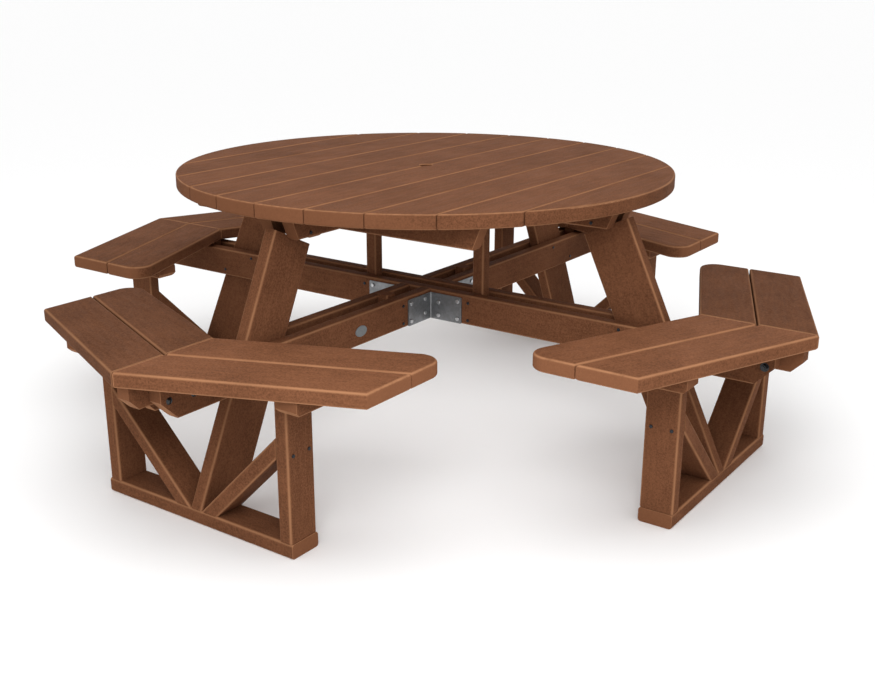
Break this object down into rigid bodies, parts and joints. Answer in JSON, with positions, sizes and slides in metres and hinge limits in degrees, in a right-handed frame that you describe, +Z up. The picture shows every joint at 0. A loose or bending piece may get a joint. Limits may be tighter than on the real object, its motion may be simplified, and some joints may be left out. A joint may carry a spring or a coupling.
{
  "type": "picnic table",
  "caption": "Round slatted table on leaning plank legs, joined by crossed twin beams to angled benches on braced frames, with a centre umbrella hole.",
  "frame": {"origin": "on the ground, under the centre of the umbrella hole", "axes": "+Z up, -Y towards the front bench, +X towards the right bench; the top boards run along Y"},
  "size_m": [2.3296, 2.3296, 0.75],
  "materials": {
    "brown_lumber": "matte, faintly grained recycled plastic lumber",
    "galvanised_steel": "dull galvanised",
    "zinc_screw": "zinc plated",
    "dark_screw": "dark coated",
    "black_bolt": "black coated",
    "badge": "plain, satin"
  },
  "bodies": {
    "root": {"arm_beam_front_left": "brown_lumber", "arm_beam_front_right": "brown_lumber", "arm_beam_rear_left": "brown_lumber", "arm_beam_rear_right": "brown_lumber", "arm_spacers": "brown_lumber", "bench_front_bearers": "brown_lumber", "bench_front_braces": "brown_lumber", "bench_front_rail": "brown_lumber", "bench_front_seat_left": "brown_lumber", "bench_front_seat_right": "brown_lumber", "bench_front_uprights": "brown_lumber", "bench_left_bearers": "brown_lumber", "bench_left_braces": "brown_lumber", "bench_left_rail": "brown_lumber", "bench_left_seat_left": "brown_lumber", "bench_left_seat_right": "brown_lumber", "bench_left_uprights": "brown_lumber", "bench_rear_bearers": "brown_lumber", "bench_rear_braces": "brown_lumber", "bench_rear_rail": "brown_lumber", "bench_rear_seat_left": "brown_lumber", "bench_rear_seat_right": "brown_lumber", "bench_rear_uprights": "brown_lumber", "bench_right_bearers": "brown_lumber", "bench_right_braces": "brown_lumber", "bench_right_rail": "brown_lumber", "bench_right_seat_left": "brown_lumber", "bench_right_seat_right": "brown_lumber", "bench_right_uprights": "brown_lumber", "blank_badge": "badge", "bolt_nuts": "black_bolt", "bolt_washers": "black_bolt", "bracket_screws": "zinc_screw", "carriage_bolts": "black_bolt", "centre_cleat_front": "brown_lumber", "centre_cleat_rear": "brown_lumber", "corner_brackets": "galvanised_steel", "cross_cleat_front": "brown_lumber", "cross_cleat_rear": "brown_lumber", "deck_screws": "dark_screw", "leg_cleats": "brown_lumber", "leg_front": "brown_lumber", "leg_left": "brown_lumber", "leg_rear": "brown_lumber", "leg_right": "brown_lumber", "mitre_blocks": "brown_lumber", "post_left": "brown_lumber", "post_right": "brown_lumber", "through_beam_front": "brown_lumber", "through_beam_rear": "brown_lumber", "top_board_01": "brown_lumber", "top_board_02": "brown_lumber", "top_board_03": "brown_lumber", "top_board_04": "brown_lumber", "top_board_05": "brown_lumber", "top_board_06": "brown_lumber", "top_board_07": "brown_lumber", "top_board_08": "brown_lumber", "top_board_09": "brown_lumber", "top_board_10": "brown_lumber"}
  },
  "joints": []
}
